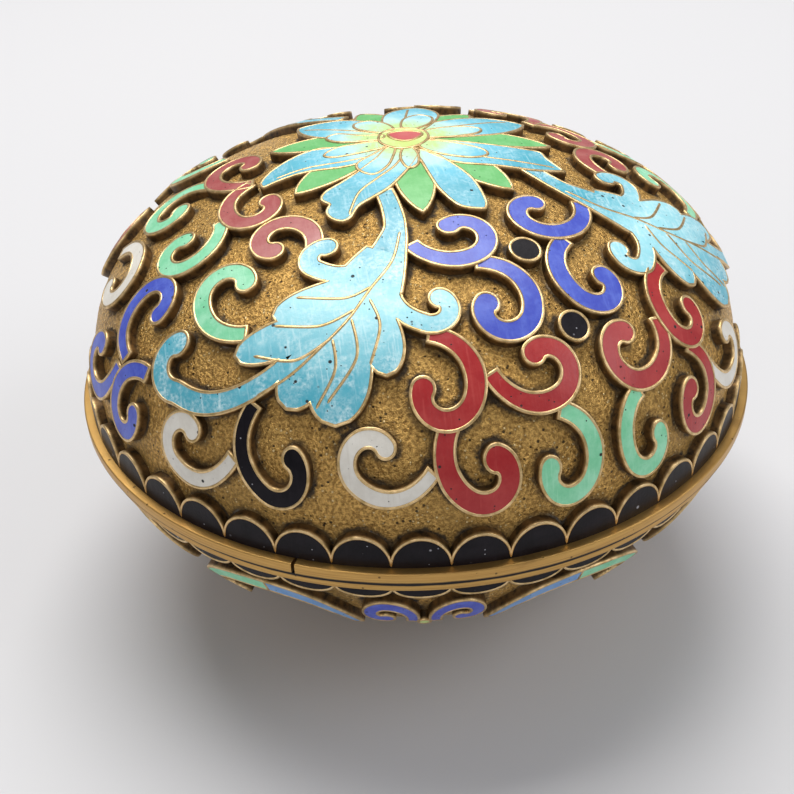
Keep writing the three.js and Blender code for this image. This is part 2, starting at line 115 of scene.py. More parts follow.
# The back takes turned and mirrored scrolls wherever they keep clear of what is laid.
BACK_TURNS = (127, 112, 142, -98, -84, -112)
BACK_LINE = 177.4
BACK_GAP = 0.45
LEAF_SCROLLS = [
    ("leaf", -7.1, -16.1, 1.35, -17, -257, 2.6, 0.1, 0.85),
    ("leaf", 1.6, -22.0, 1.6, 137, 272, 2.8, 0.5, 0.8),
    ("leaf", -20.4, -22.5, 2.45, 343, -249, 8.2, 0.6, 0.95),
]
# leaflet: base x, base y, tip x, tip y, bend, half width
LEAF_LOBES = [
    (-2.2, -16.0, -6.0, -27.0, -0.4, 3.0),
    (-3.0, -18.5, -11.5, -21.2, 0.7, 1.7),
    (-4.0, -21.5, -15.0, -23.9, 0.5, 1.7),
    (-5.5, -24.0, -10.8, -29.3, -0.4, 2.0),
    (-4.5, -22.5, -6.7, -31.3, -0.3, 2.6),
    (-3.3, -21.0, -2.2, -27.8, 0.3, 1.6),
]
# stem: x, y, half width
STEM = [
    (-2.1, -7.8, 0.75), (-1.5, -10.4, 0.8), (-1.2, -13.2, 0.9), (-1.8, -16.2, 1.5), (-2.8, -19.5, 2.2),
    (-4.5, -23.5, 2.8),
]
VEINS = [
    [(-0.8, -13.8), (-1.5, -17.2), (-3.3, -20.0), (-5.3, -22.9), (-8.0, -25.3), (-10.5, -26.9),
     (-13.4, -27.8)],
    [(-3.2, -19.8), (-5.5, -20.7), (-9.5, -19.9)],
    [(-4.6, -21.9), (-7.5, -23.0), (-11.4, -22.2)],
    [(-6.5, -24.2), (-9.7, -25.6), (-13.3, -24.4)],
    [(-6.5, -24.3), (-6.4, -27.0), (-8.2, -29.8)],
    [(-4.9, -22.7), (-4.6, -26.2), (-7.2, -29.5)],
    [(-3.4, -21.0), (-2.6, -23.6), (-3.5, -26.9)],
]
FLOWER = (-0.5, 2.7)
# petal: direction from the heart, length, half width
SEPALS = [
    (224.5, 13.2, 1.9), (277, 14.0, 1.7), (314, 13.8, 1.9), (1, 14.0, 1.7),
    (50, 10.5, 1.7), (113, 10.5, 1.7), (176, 12.5, 1.7),
]
FAR_PETALS = [(27, 13.5, 2.7), (82, 11.5, 2.7), (145, 12.5, 2.7)]
# Near petals as closed outlines; a point given twice is a corner.
NEAR_PETALS = [
    [(-2.2, 1.2), (-5.2, 1.2), (-8.2, 1.8), (-8.2, 1.8), (-10.2, 0.9), (-12.4, -1.3), (-13.3, -3.3),
     (-13.0, -4.3), (-13.0, -4.3), (-11.2, -3.5), (-9.0, -3.0), (-5.4, -3.0), (-2.4, -1.6), (-1.0, 0.0)],
    [(1.6, -0.6), (4.2, -3.0), (8.1, -3.3), (11.4, -3.4), (14.2, -2.6), (14.2, -2.6), (13.2, -1.2),
     (12.7, -0.4), (12.7, -0.4), (12.3, 0.7), (10.6, 0.9), (7.2, 1.2), (4.0, 1.6), (1.6, 1.6)],
    [(0.4, -0.4), (1.2, -2.7), (1.9, -5.4), (2.8, -8.1), (4.4, -10.4), (6.5, -10.7), (6.5, -10.7),
     (6.6, -9.4), (5.7, -6.2), (4.0, -3.4), (2.2, -1.2)],
    [(-1.6, 0.2), (-2.8, -2.0), (-4.4, -4.4), (-5.8, -6.0), (-7.2, -7.3), (-7.5, -8.4), (-6.7, -9.3),
     (-6.7, -9.3), (-7.0, -10.4), (-6.5, -11.4), (-5.6, -11.9), (-4.9, -11.4), (-4.3, -10.0), (-3.1, -8.9),
     (-1.6, -7.4), (-0.2, -4.9), (0.7, -2.6), (0.9, -0.4)],
]
PETAL_FOLDS = [
    [(-1.6, -1.0), (-5.4, -2.0), (-9.2, -2.3), (-11.9, -3.2)],
    [(2.2, -0.2), (6.0, -1.6), (10.0, -2.1), (13.4, -2.3)],
    [(-0.3, -1.6), (-1.2, -3.9), (-2.7, -5.9), (-4.2, -7.9), (-4.9, -10.4), (-5.0, -11.2)],
]
INNER_PETALS = [
    [(-1.9, 0.4), (-4.4, -0.6), (-6.6, -0.9), (-7.6, -0.2), (-6.6, 1.1), (-4.4, 1.6), (-2.2, 1.7)],
    [(-1.1, -0.1), (-1.3, -2.0), (-1.8, -3.8), (-2.9, -5.1), (-4.1, -4.4), (-4.5, -2.9), (-3.0, -1.1),
     (-1.8, 0.3)],
    [(-0.3, -0.2), (-0.6, -2.2), (0.0, -4.2), (0.9, -3.6), (1.0, -1.8), (0.5, -0.2)],
    [(1.2, 0.0), (3.0, -1.5), (5.6, -2.1), (7.2, -1.4), (6.9, -0.2), (4.6, 0.9), (1.8, 1.5)],
    [(1.6, 2.4), (4.2, 2.6), (6.6, 3.9), (7.0, 5.3), (5.4, 5.6), (3.0, 4.9), (1.3, 3.6)],
    [(0.6, 4.6), (2.2, 6.4), (2.5, 8.6), (1.3, 9.7), (-0.1, 8.4), (-0.5, 6.4), (-0.3, 4.9)],
    [(-1.2, 4.8), (-2.0, 6.8), (-3.6, 8.2), (-5.0, 7.6), (-4.8, 5.9), (-3.2, 4.4), (-1.9, 4.0)],
    [(-2.2, 3.2), (-4.2, 3.6), (-6.6, 4.9), (-7.6, 4.0), (-6.4, 2.6), (-4.2, 2.1), (-2.4, 2.2)],
]
HEART_RING = [
    (-2.6, 2.6), (-2.2, 0.9), (-0.6, -0.3), (1.1, 0.4), (2.0, 2.2), (1.6, 4.0), (-0.2, 4.9), (-2.0, 4.3),
]
HEART = [(-1.7, 3.4), (-1.2, 2.0), (0.0, 1.4), (1.1, 2.2), (1.4, 3.3), (0.0, 3.9)]
STUDS = [(9.6, -15.4), (13.4, -22.5)]
STUD_RADIUS = 1.3
MIRROR_ANGLE = 27.4
MIRROR_OFFSET = 1.2
BACK_LEAF_TURN = -137.5

ON_AXIS = 1e-3          # a radius below this is on the axis
LAPPETS = 42
LAPPET_PHASE = -154.06
JOINT_ANGLE = 252

# ---- bowl ornament: distance along the rim from a pair's middle, distance down from the rim (mm) ---
BOWL_PAIRS = 4
BOWL_PAIR_PHASE = 270.5
BOWL_SCROLL = (4.4, -5.4, 2.0, 215, -300, 1.6, 0.8, 0.8)
BOWL_SWEEP = [
    (8.6, 9.4), (10.2, 6.4), (13.2, 4.1), (17.0, 3.2), (21.2, 3.3), (25.4, 4.3), (28.4, 6.4), (28.9, 8.8),
    (27.0, 9.9), (25.6, 8.8),
]
SWEEP_HALF = 0.85
SWEEP_CHANGE = 0.42     # share of a long band that is pale blue; the rest is green
BOWL_BEAD_DEPTH = 8.0
BOWL_BEAD_RADIUS = 0.75

# ---- fine sizes (mm) -------------------------------------------------------------------------------
WIRE_ROOT = 0.15        # how far a wire's foot goes into the ground
WIRE_END = 0.35         # width of an open wire's end, as a share
LEAST_CELL = 0.15       # smallest area that gets a wire, in mm2
CELL_GRID = 0.8         # spacing of the points inside wide cells
TAIL_SINK = 0.16        # a scroll's tail runs under its neighbour by this much,
TAIL_REACH = 2.4        # over this length
LEAF_FADE = 22
FLOWER_FADE = 14
SEPAL_LEVEL = 0.01      # the flower's layers, above the plain cells
PETAL_LEVEL = 0.06
PETAL_STEP = 0.01
INNER_LEVEL = 0.11
HEART_RING_LEVEL = 0.17
HEART_LEVEL = 0.19
FOLDED_PETALS = (0, 1, 3)
LAPPET_ROOT = 0.12      # height of the border where two tongues meet
LAPPET_STATIONS = 25
NEARBY = 12
INNER_RINGS = 36
FOOT_ROUNDING = 0.12
BAND_ROUNDING = 0.14
COLLAR_CLEARANCE = 0.3
COLLAR_WALL = 0.8
PARTING_GAP = 0.4

# ---- stage (m) -------------------------------------------------------------------------------------
FLOOR_HALF = 3.0
CAMERA_EYE = (0.0, -0.10003, 0.08563)
CAMERA_TARGET = (-0.001848, 0.0, 0.01628)
CAMERA_ROLL = -0.0414
CAMERA_LENS = 52.61


def rad(degrees):
    return math.radians(degrees)


# ---- curved faces ----------------------------------------------------------------------------------
class Shell:
    """A dome or bowl, turned from a superellipse. Plan points are distances round and from its crown."""

    def __init__(self, radius, rise, roundness, flatness, edge, side, samples=4000):
        t = (math.pi / 2) * (1 - (np.arange(samples + 1) / samples) ** 2)
        self.side = side
        self.edge = edge
        self.r = radius * np.cos(t) ** roundness
        self.z = edge + side * rise * np.sin(t) ** flatness
        self.r[0] = 0.0
        steps = np.hypot(np.diff(self.r), np.diff(self.z))
        self.arc = np.concatenate([[0.0], np.cumsum(steps)])
        self.length = float(self.arc[-1])
        dr = np.gradient(self.r, self.arc)
        dz = np.gradient(self.z, self.arc)
        size = np.hypot(dr, dz)
        self.out_r = -side * dz / size
        self.out_z = side * dr / size

    def section(self, arc, depth):
        """Radius and height at distances from the crown, sunk by depth."""
        arc = np.clip(arc, 0, self.length)
        r = np.interp(arc, self.arc, self.r) - depth * np.interp(arc, self.arc, self.out_r)
        z = np.interp(arc, self.arc, self.z) - depth * np.interp(arc, self.arc, self.out_z)
        return np.maximum(r, 0), z

    def place(self, plan, depth):
        """Plan points carried onto the surface, sunk by depth (mm)."""
        plan = np.asarray(plan, float)
        reach = np.hypot(plan[:, 0], plan[:, 1])
        r, z = self.section(reach, np.broadcast_to(depth, reach.shape))
        scale = r / np.maximum(reach, 1e-9)
        return np.stack([plan[:, 0] * scale, plan[:, 1] * scale, z], axis=1)


DOME = Shell(32.2, 21.85, 1.0, 0.7337, LID_LOW.z, 1)
BOWL = Shell(32.0, 22.6, 1.066, 1.333, BOWL_HIGH.z, -1)


# ---- outlines in the plan --------------------------------------------------------------------------
def area(points):
    x, y = np.asarray(points, float).T
    return 0.5 * float(np.sum(x * np.roll(y, -1) - y * np.roll(x, -1)))


def anticlockwise(points):
    points = np.asarray(points, float)
    return points if area(points) > 0 else points[::-1]


def resampled(points, step, closed):
    """The same line with points a step apart, its corners kept to within a step."""
    points = np.asarray(points, float)
    if closed:
        points = np.vstack([points, points[:1]])
    lengths = np.hypot(*np.diff(points, axis=0).T)
    keep = np.concatenate([[True], lengths > 1e-6])
    points = points[keep]
    lengths = np.hypot(*np.diff(points, axis=0).T)
    run = np.concatenate([[0.0], np.cumsum(lengths)])
    count = max(4, int(round(run[-1] / step)))
    at = np.linspace(0, run[-1], count + 1)
    line = np.stack([np.interp(at, run, points[:, 0]), np.interp(at, run, points[:, 1])], axis=1)
    return line[:-1] if closed else line


def curve(points, closed, step=0.25):
    """A smooth line through points; a point given twice is a corner."""
    p = np.asarray(points, float)
    n = len(p)
    spans = n if closed else n - 1
    t = np.linspace(0, 1, 12, endpoint=False)[:, None]
    line = []
    for i in range(spans):
        if closed:
            a, b, c, d = p[i - 1], p[i], p[(i + 1) % n], p[(i + 2) % n]
        else:
            a, b, c, d = p[max(0, i - 1)], p[i], p[i + 1], p[min(n - 1, i + 2)]
        if np.allclose(b, c):
            continue
        before = (c - a) * 0.5
        after = (d - b) * 0.5
        h = 2 * t**3 - 3 * t**2 + 1, t**3 - 2 * t**2 + t, -2 * t**3 + 3 * t**2, t**3 - t**2
        line.append(h[0] * b + h[1] * before + h[2] * c + h[3] * after)
    if not closed:
        line.append(p[-1:])
    return resampled(np.vstack(line), step, closed)


def ribbon(line, halves, round_end=True):
    """The outline of a stroke of varying width along a line, with a round far end."""
    line = np.asarray(line, float)
    halves = np.asarray(halves, float)
    along = np.gradient(line, axis=0)
    along /= np.hypot(along[:, 0], along[:, 1])[:, None]
    left = np.stack([-along[:, 1], along[:, 0]], axis=1)
    near = line + left * halves[:, None]
    far = line - left * halves[:, None]
    cap = []
    if round_end:
        for k in range(1, 10):
            turn = math.pi * k / 10
            cap.append(line[-1] + halves[-1] * (left[-1] * math.cos(turn) + along[-1] * math.sin(turn)))
    outline = np.vstack([near, np.array(cap).reshape(-1, 2), far[::-1]])
    return anticlockwise(outline)


def scroll_line(cx, cy, radius, start, sweep, tail, curl, half, stations=56):
    s = np.linspace(0, 1, stations)
    flare = tail * np.maximum(0, 1 - s / 0.42) ** 2
    tuck = curl * np.maximum(0, (s - 0.6) / 0.4) ** 2
    reach = radius + flare - tuck
    turn = np.radians(start + sweep * s)
    line = np.stack([cx + reach * np.cos(turn), cy + reach * np.sin(turn)], axis=1)
    halves = half * (0.8 + 0.2 * np.minimum(1, s / 0.25)) * (1 + 0.16 * np.maximum(0, (s - 0.85) / 0.15))
    return line, halves


def leaflet(bx, by, tx, ty, bend, half, stations=26):
    s = np.linspace(0, 1, stations)
    base, tip = np.array([bx, by]), np.array([tx, ty])
    run = tip - base
    across = np.array([-run[1], run[0]]) / np.hypot(*run)
    line = base + run * s[:, None] + across * (bend * 4 * s * (1 - s))[:, None]
    peak = 0.62
    rising = 0.5 + 0.5 * np.sin((math.pi / 2) * np.minimum(1, s / peak))
    falling = np.sqrt(np.maximum(0, 1 - (np.maximum(0, s - peak) / (1 - peak)) ** 2))
    return ribbon(line, half * np.where(s < peak, rising, falling) + 0.02, round_end=False)


def petal(direction, length, half, stations=26):
    s = np.linspace(0, 1, stations)
    toward = np.array([math.cos(rad(direction)), math.sin(rad(direction))])
    line = np.array(FLOWER) + toward * (length * s)[:, None]
    rising = 0.35 + 0.65 * np.sin((math.pi / 2) * np.minimum(1, s / 0.6))
    falling = np.maximum(0, 1 - (np.maximum(0, s - 0.6) / 0.4) ** 2) ** 0.8
    return ribbon(line, half * np.where(s < 0.6, rising, falling) + 0.02, round_end=False)


def same(points):
    return np.asarray(points, float)


def mirrored(points):
    points = np.asarray(points, float)
    normal = np.array([math.cos(rad(MIRROR_ANGLE)), math.sin(rad(MIRROR_ANGLE))])
    return points + 2 * (MIRROR_OFFSET - points @ normal)[:, None] * normal


def turned(angle):
    """A change that turns plan points about the flower's heart."""
    c, s = math.cos(rad(angle)), math.sin(rad(angle))

    def change(points):
        return (np.asarray(points, float) - FLOWER) @ np.array([[c, s], [-s, c]]) + FLOWER

    return change


def flipped(angle):
    """A change that mirrors plan points in a line through the flower's heart."""
    c, s = math.cos(rad(2 * angle)), math.sin(rad(2 * angle))

    def change(points):
        return (np.asarray(points, float) - FLOWER) @ np.array([[c, s], [s, -c]]) + FLOWER

    return change


def cover(outlines, spacing=0.0):
    """Triangles over the union of closed outlines: plan points, triangles and border loops."""
    points, faces = [], []
    for outline in outlines:
        outline = anticlockwise(outline)
        faces.append(list(range(len(points), len(points) + len(outline))))
        points.extend(Vector(p) for p in outline)
    if spacing:
        corners = np.array([tuple(p) for p in points])
        low, high = corners.min(0), corners.max(0)
        for i, y in enumerate(np.arange(low[1], high[1], spacing * 0.87)):
            for x in np.arange(low[0] + (i % 2) * spacing / 2, high[0], spacing):
                points.append(Vector((x, y)))
    spots, _, triangles, _, _, owners = delaunay_2d_cdt(points, [], faces, 0, 1e-4, True)
    plan = np.array([tuple(p) for p in spots], float)
    kept = [tuple(t) for t, owner in zip(triangles, owners) if owner]
    kept = [t if area(plan[list(t)]) > 0 else t[::-1] for t in kept]
    onward = {}
    edges = {(t[i], t[(i + 1) % 3]) for t in kept for i in range(3)}
    for a, b in sorted(edges):
        if (b, a) not in edges:
            onward.setdefault(a, []).append(b)
    loops = []
    while onward:
        start = min(onward)
        loop, here = [], start
        while here in onward:
            loop.append(here)
            ahead = onward[here].pop()
            if not onward[here]:
                del onward[here]
            here = ahead
        if len(loop) > 2:
            loops.append(loop)
    return plan, kept, loops


# ---- raised ornament -------------------------------------------------------------------------------
def add_piece(name, mesh, node):
    """Put a mesh in the scene in place of a CAD node."""
    obj = bpy.data.objects.new(name, mesh)
    bpy.context.scene.collection.objects.link(obj)
    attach(obj, BODY)
    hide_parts(node)


class Heap:
    """Vertices, faces and values of one mesh, gathered bit by bit."""

    def __init__(self):
        self.points, self.faces, self.finishes, self.values = [], [], [], []
        self.count = 0

    def add(self, points, faces, finish, values, flip):
        self.points.append(points)
        for face in faces:
            face = [self.count + int(k) for k in face]
            self.faces.append(face[::-1] if flip else face)
            self.finishes.append(finish)
        self.values.append(np.broadcast_to(values, (len(points),)))
        self.count += len(points)

    def build(self, name, materials, value_name, node, slot):
        mesh = bpy.data.meshes.new(name)
        mesh.from_pydata((np.vstack(self.points) * MM).tolist(), [], self.faces)
        for material in materials:
            mesh.materials.append(material)
        mesh.polygons.foreach_set("material_index", self.finishes)
        mesh.polygons.foreach_set("use_smooth", [True] * len(self.faces))
        attribute = mesh.attributes.new(value_name, "FLOAT", "POINT")
        attribute.data.foreach_set("value", np.concatenate(self.values).astype(np.float32))
        mesh.validate()
        mesh.update()
        add_piece(name, mesh, node)


class Relief:
    """Enamel cells and the gilt wires that hold them, raised on one shell."""

    def __init__(self, shell, sizes):
        self.shell = shell
        self.sizes = sizes
        self.enamel = Heap()
        self.wire = Heap()
        self.borders = []

    def cell(self, finish, outlines, lift=0.0, sink=None, spacing=0.0, fade=None):
        """Enamel over the union of outlines, with a wire round its edge."""
        plan, triangles, loops = cover(outlines, spacing)
        depth = np.full(len(plan), -lift)
        if sink is not None:
            depth = depth + sink(plan)
        values = fade(plan) if fade is not None else np.full(len(plan), 0.5)
        flip = self.shell.side < 0
        self.enamel.add(self.shell.place(plan, depth), triangles, FINISHES.index(finish), values, flip)
        for loop in loops:
            line = plan[loop]
            if abs(area(line)) > LEAST_CELL:
                self.wall(line, depth[loop])
                self.borders.append(line)

    def wall_section(self):
        """A cell wire across: distance out from the outline, depth, and how far down its side."""
        half, proud = self.sizes.wire_width / 2, self.sizes.wire_proud
        return [
            (-half, 0.1, 0.0), (-half * 0.8, -proud * 0.6, 0.0), (0.0, -proud, 0.0),
            (half * 0.8, -proud * 0.6, 0.0), (half, 0.03, 0.05), (half + 0.015, 0.2, 0.35),
            (half + 0.05, None, 1.0),
        ]

    def wall(self, line, depth, closed=True):
        """The wire round a cell, from its top down to the ground."""
        self.sweep(line, depth, self.wall_section(), self.sizes.relief + WIRE_ROOT, closed)

    def strip(self, line, lift=0.0):
        """A wire laid in the enamel."""
        half, proud = self.sizes.wire_width / 2, self.sizes.wire_proud
        section = [
            (-half, 0.12, 0.2), (-half * 0.85, -proud * 0.5, 0.0), (0.0, -proud, 0.0),
            (half * 0.85, -proud * 0.5, 0.0), (half, 0.12, 0.2),
        ]
        self.sweep(np.asarray(line), np.full(len(line), -lift), section, None, closed=False)

    def sweep(self, line, depth, section, foot, closed):
        """A section drawn along a line; a section point with no depth stands on the foot."""
        n, m = len(line), len(section)
        ahead = np.roll(line, -1, axis=0) - line
        if not closed:
            ahead[-1] = ahead[-2]
        ahead /= np.maximum(np.hypot(ahead[:, 0], ahead[:, 1]), 1e-9)[:, None]
        behind = np.roll(ahead, 1, axis=0)
        if not closed:
            behind[0] = ahead[0]
        along = ahead + behind
        size = np.maximum(np.hypot(along[:, 0], along[:, 1]), 0.8)
        out = np.stack([along[:, 1], -along[:, 0]], axis=1) * (2 / size**2)[:, None]
        ends = np.ones(n)
        if not closed:
            ends[0] = ends[-1] = WIRE_END
        plan = np.concatenate([line + out * (o * ends)[:, None] for o, _, _ in section])
        levels = [np.full(n, foot) if d is None else depth + d + 0.05 * (1 - ends) for _, d, _ in section]
        values = np.concatenate([np.full(n, v) for _, _, v in section])
        faces = []
        for j in range(m - 1):
            for i in range(n if closed else n - 1):
                k = (i + 1) % n
                faces.append((j * n + i, (j + 1) * n + i, (j + 1) * n + k, j * n + k))
        points = self.shell.place(plan, np.concatenate(levels))
        self.wire.add(points, faces, 0, values, self.shell.side < 0)

    def fits(self, row, change, gap, margin):
        """Whether a scroll keeps clear of all that is laid so far and of the border."""
        outline = change(ribbon(*scroll_line(*row[1:])))
        if np.hypot(*outline.T).max() > self.shell.length - margin:
            return False
        laid = np.vstack(self.borders)
        near = laid[np.hypot(*(laid - outline.mean(0)).T) < NEARBY]
        if not len(near):
            return True
        return float(np.hypot(*(near[:, None] - outline[None]).transpose(2, 0, 1)).min()) > gap

    def scroll(self, row, change=same, lift=0.0):
        finish, *shape = row
        line, halves = scroll_line(*shape)
        line = change(line)
        tail = line[0]

        def sink(plan):
            return TAIL_SINK * np.maximum(0, 1 - np.hypot(*(plan - tail).T) / TAIL_REACH)

        self.cell(finish, [ribbon(line, halves)], lift, sink)


def leaf(relief, change):
    """One leaf with its stem and veins, laid where change puts it."""
    outlines = [leaflet(*row) for row in LEAF_LOBES]
    outlines += [ribbon(*scroll_line(*row[1:])) for row in LEAF_SCROLLS]
    stem = np.array(STEM)
    line = curve(stem[:, :2], closed=False, step=0.3)
    halves = np.interp(line[:, 1], stem[::-1, 1], stem[::-1, 2])
    outlines.append(ribbon(line, halves))
    base = change([STEM[0][:2]])[0]

    def fade(plan):
        return np.clip(np.hypot(*(plan - base).T) / LEAF_FADE, 0, 1)

    relief.cell("leaf", [change(o) for o in outlines], spacing=CELL_GRID, fade=fade)
    for row in VEINS:
        relief.strip(curve(change(row), closed=False))


def flower(relief):
    """The flower at the crown: sepals lowest, then petals, inner petals and the heart."""
    centre = np.array(FLOWER)

    def fade(plan):
        return np.clip(np.hypot(*(plan - centre).T) / FLOWER_FADE, 0, 1)

    def lay(finish, outline, level, step=0.0, fade=fade):
        relief.cell(finish, [outline], level + step, spacing=CELL_GRID, fade=fade)

    for i, row in enumerate(SEPALS):
        lay("leaf_green", petal(*row), SEPAL_LEVEL, 0.004 * i, fade=None)
    for i, row in enumerate(FAR_PETALS):
        lay("petal", petal(*row), PETAL_LEVEL, PETAL_STEP * i)
        outward = np.array([math.cos(rad(row[0] + 4)), math.sin(rad(row[0] + 4))])
        fold = centre + outward * np.linspace(2.5, row[1] * 0.9, 30)[:, None]
        relief.strip(fold, PETAL_LEVEL + PETAL_STEP * i)
    for i, row in enumerate(NEAR_PETALS):
        lay("petal", curve(row, closed=True), PETAL_LEVEL, PETAL_STEP * i)
    for row, petal_number in zip(PETAL_FOLDS, FOLDED_PETALS):
        relief.strip(curve(row, closed=False), PETAL_LEVEL + PETAL_STEP * petal_number)
    for i, row in enumerate(INNER_PETALS):
        lay("petal", curve(row, closed=True), INNER_LEVEL, 0.005 * i)
    relief.cell("yellow_green", [curve(HEART_RING, closed=True)], HEART_RING_LEVEL)
    relief.cell("heart_red", [curve(HEART, closed=True)], HEART_LEVEL)


def circle(x, y, radius, count):
    turn = np.linspace(0, 2 * math.pi, count, endpoint=False)
    return np.stack([x + radius * np.cos(turn), y + radius * np.sin(turn)], axis=1)


def lappets(relief, height):
    """The border of half-round black tongues next to a band."""
    shell = relief.shell
    pitch = 2 * math.pi / LAPPETS
    share = 0.5 - 0.5 * np.cos(np.linspace(0, math.pi, LAPPET_STATIONS))
    rise = LAPPET_ROOT + (height - LAPPET_ROOT) * np.sqrt(np.maximum(0, 1 - (2 * share - 1) ** 2))
    for k in range(LAPPETS):
        turn = rad(LAPPET_PHASE) + pitch * (k + share)
        arch = (shell.length - rise)[:, None] * np.stack([np.cos(turn), np.sin(turn)], axis=1)
        base_turn = turn[-2:0:-2]
        base = shell.length * np.stack([np.cos(base_turn), np.sin(base_turn)], axis=1)
        plan, triangles, _ = cover([np.vstack([arch, base])])
        points = shell.place(plan, 0.0)
        relief.enamel.add(points, triangles, FINISHES.index("black"), 0.5, shell.side < 0)
        line = resampled(arch, 0.22, closed=False)[::-1]
        relief.wall(line, np.zeros(len(line)), closed=False)
        relief.borders.append(arch)


def on_bowl(points, middle, side):
    """Points beside a pair's middle carried to the bowl's plan; side -1 is the mirrored half."""
    turn = np.radians(middle) + side * points[:, 0] / BOWL.length
    reach = BOWL.length - points[:, 1]
    return np.stack([reach * np.cos(turn), reach * np.sin(turn)], axis=1)


def bowl_half(relief, middle, side):
    """Half of the bowl's repeat: a small scroll and a long band in two colours."""
    line, halves = scroll_line(*BOWL_SCROLL)
    line[:, 1] *= -1
    relief.cell("blue", [on_bowl(ribbon(line, halves), middle, side)], 0.02)
    line = curve(BOWL_SWEEP, closed=False, step=0.3)
    share = np.linspace(0, 1, len(line))
    halves = SWEEP_HALF * (0.7 + 0.3 * np.minimum(1, share / 0.2)) * (1 + 0.12 * (share > 0.95))
    cut = int(len(line) * SWEEP_CHANGE)
    inner = ribbon(line[: cut + 1], halves[: cut + 1], False)
    relief.cell("pale_blue", [on_bowl(inner, middle, side)])
    relief.cell("mint", [on_bowl(ribbon(line[cut:], halves[cut:]), middle, side)], 0.01)


# ---- shells and bands ------------------------------------------------------------------------------
def turned_mesh(profile, around, start=0.0, sweep=360.0, close_profile=False):
    """A profile of (radius, height) turned round the axis; part of a turn gets flat ends."""
    whole = sweep >= 360
    turns = np.radians(start + sweep * np.arange(around if whole else around + 1) / around)
    m = len(profile)
    points = []
    index = np.zeros((len(turns), m), int)
    for j, (r, z) in enumerate(profile):
        if r < ON_AXIS:
            index[:, j] = len(points)
            points.append((0.0, 0.0, z))
            continue
        index[:, j] = len(points) + np.arange(len(turns))
        points.extend((r * math.cos(a), r * math.sin(a), z) for a in turns)
    index = index.tolist()
    faces = []
    for i in range(around):
        here, ahead = index[i], index[(i + 1) % len(turns)]
        for j in range(m if close_profile else m - 1):
            k = (j + 1) % m
            faces.append(tuple(dict.fromkeys((here[j], ahead[j], ahead[k], here[k]))))
    if not whole:
        faces.append(tuple(index[0]))
        faces.append(tuple(index[-1][::-1]))
    return np.array(points), faces


def rounded(section, radius, steps=3):
    """A closed section with its corners rounded."""
    section = [np.array(p, float) for p in section]
    out = []
    for i, corner in enumerate(section):
        before, after = section[i - 1], section[(i + 1) % len(section)]
        a, b = before - corner, after - corner
        cut = min(radius, 0.4 * np.hypot(*a), 0.4 * np.hypot(*b))
        start = corner + a / np.hypot(*a) * cut
        end = corner + b / np.hypot(*b) * cut
        for s in np.linspace(0, 1, steps + 1):
            out.append((1 - s) ** 2 * start + 2 * s * (1 - s) * corner + s**2 * end)
    return np.array(out)


def piece_from(name, points, faces, material, node, value_name=None, values=None, sharp=40):
    """One piece from turned points and faces; edges sharper than sharp (degrees) stay crisp."""
    mesh = bpy.data.meshes.new(name)
    mesh.from_pydata((np.asarray(points) * MM).tolist(), [], faces)
    mesh.materials.append(material)
    mesh.polygons.foreach_set("use_smooth", [True] * len(mesh.polygons))
    if values is not None:
        attribute = mesh.attributes.new(value_name, "FLOAT", "POINT")
        attribute.data.foreach_set("value", np.asarray(values, np.float32))
    mesh.validate()
    mesh.update()
    mesh.set_sharp_from_angle(angle=rad(sharp))
    add_piece(name, mesh, node)


def stippled_shell(name, profile, relief, material, node, around):
    """The brass body. Its ground is stippled, and a value says how deep in a corner each point lies."""
    points, faces = turned_mesh(profile, around)
    shell = relief.shell
    ground = shell.section(shell.arc, relief.sizes.relief)
    turn = np.arctan2(points[:, 1], points[:, 0])
    reach = np.hypot(points[:, 0], points[:, 1])
    order = np.argsort(ground[1]) if shell.side < 0 else np.argsort(-ground[1])
    height, arc_at = ground[1][order], shell.arc[order]
    level = points[:, 2] if shell.side < 0 else -points[:, 2]
    arc = np.interp(level, height if shell.side < 0 else -height, arc_at)
    on_ground = np.abs(np.interp(arc, shell.arc, ground[0]) - reach) < 0.05
    on_ground &= arc < shell.length - 0.3
    tree_points = np.vstack(relief.borders)
    tree = kdtree.KDTree(len(tree_points))
    for i, (x, y) in enumerate(tree_points):
        tree.insert((x, y, 0), i)
    tree.balance()
    corner = np.zeros(len(points))
    for i in np.flatnonzero(on_ground):
        x, y = arc[i] * math.cos(turn[i]), arc[i] * math.sin(turn[i])
        corner[i] = max(0.0, 1 - tree.find((x, y, 0))[2] / 1.2)
        p = Vector(points[i])
        grain = noise.noise(p * 2.6) + 0.5 * noise.noise(p * 5.5)
        dent = 0.045 * grain - 0.05 * corner[i] ** 2
        length = p.length or 1
        points[i] = p * (1 + dent / length)
    piece_from(name, points, faces, material, node, "corner", corner, sharp=50)


# ---- finishes --------------------------------------------------------------------------------------
class Signal:
    """A node's output that can be calculated with."""

    def __init__(self, finish, socket):
        self.finish = finish
        self.socket = socket

    def maths(self, operation, *values, clamp=False):
        settings = {"operation": operation, "use_clamp": clamp}
        return self.finish.node("ShaderNodeMath", settings, dict(enumerate(values)))

    def __add__(self, other):
        return self.maths("ADD", self, other)

    def __radd__(self, other):
        return self.maths("ADD", other, self)

    def __sub__(self, other):
        return self.maths("SUBTRACT", self, other)

    def __rsub__(self, other):
        return self.maths("SUBTRACT", other, self)

    def __mul__(self, other):
        return self.maths("MULTIPLY", self, other)

    def __rmul__(self, other):
        return self.maths("MULTIPLY", other, self)

    def __truediv__(self, other):
        return self.maths("DIVIDE", self, other)

    def between(self, low, high):
        """0 below low, 1 above high, smooth between."""
        settings = {"interpolation_type": "SMOOTHSTEP"}
        inputs = {"Value": self, "From Min": low, "From Max": high}
        return self.finish.node("ShaderNodeMapRange", settings, inputs)


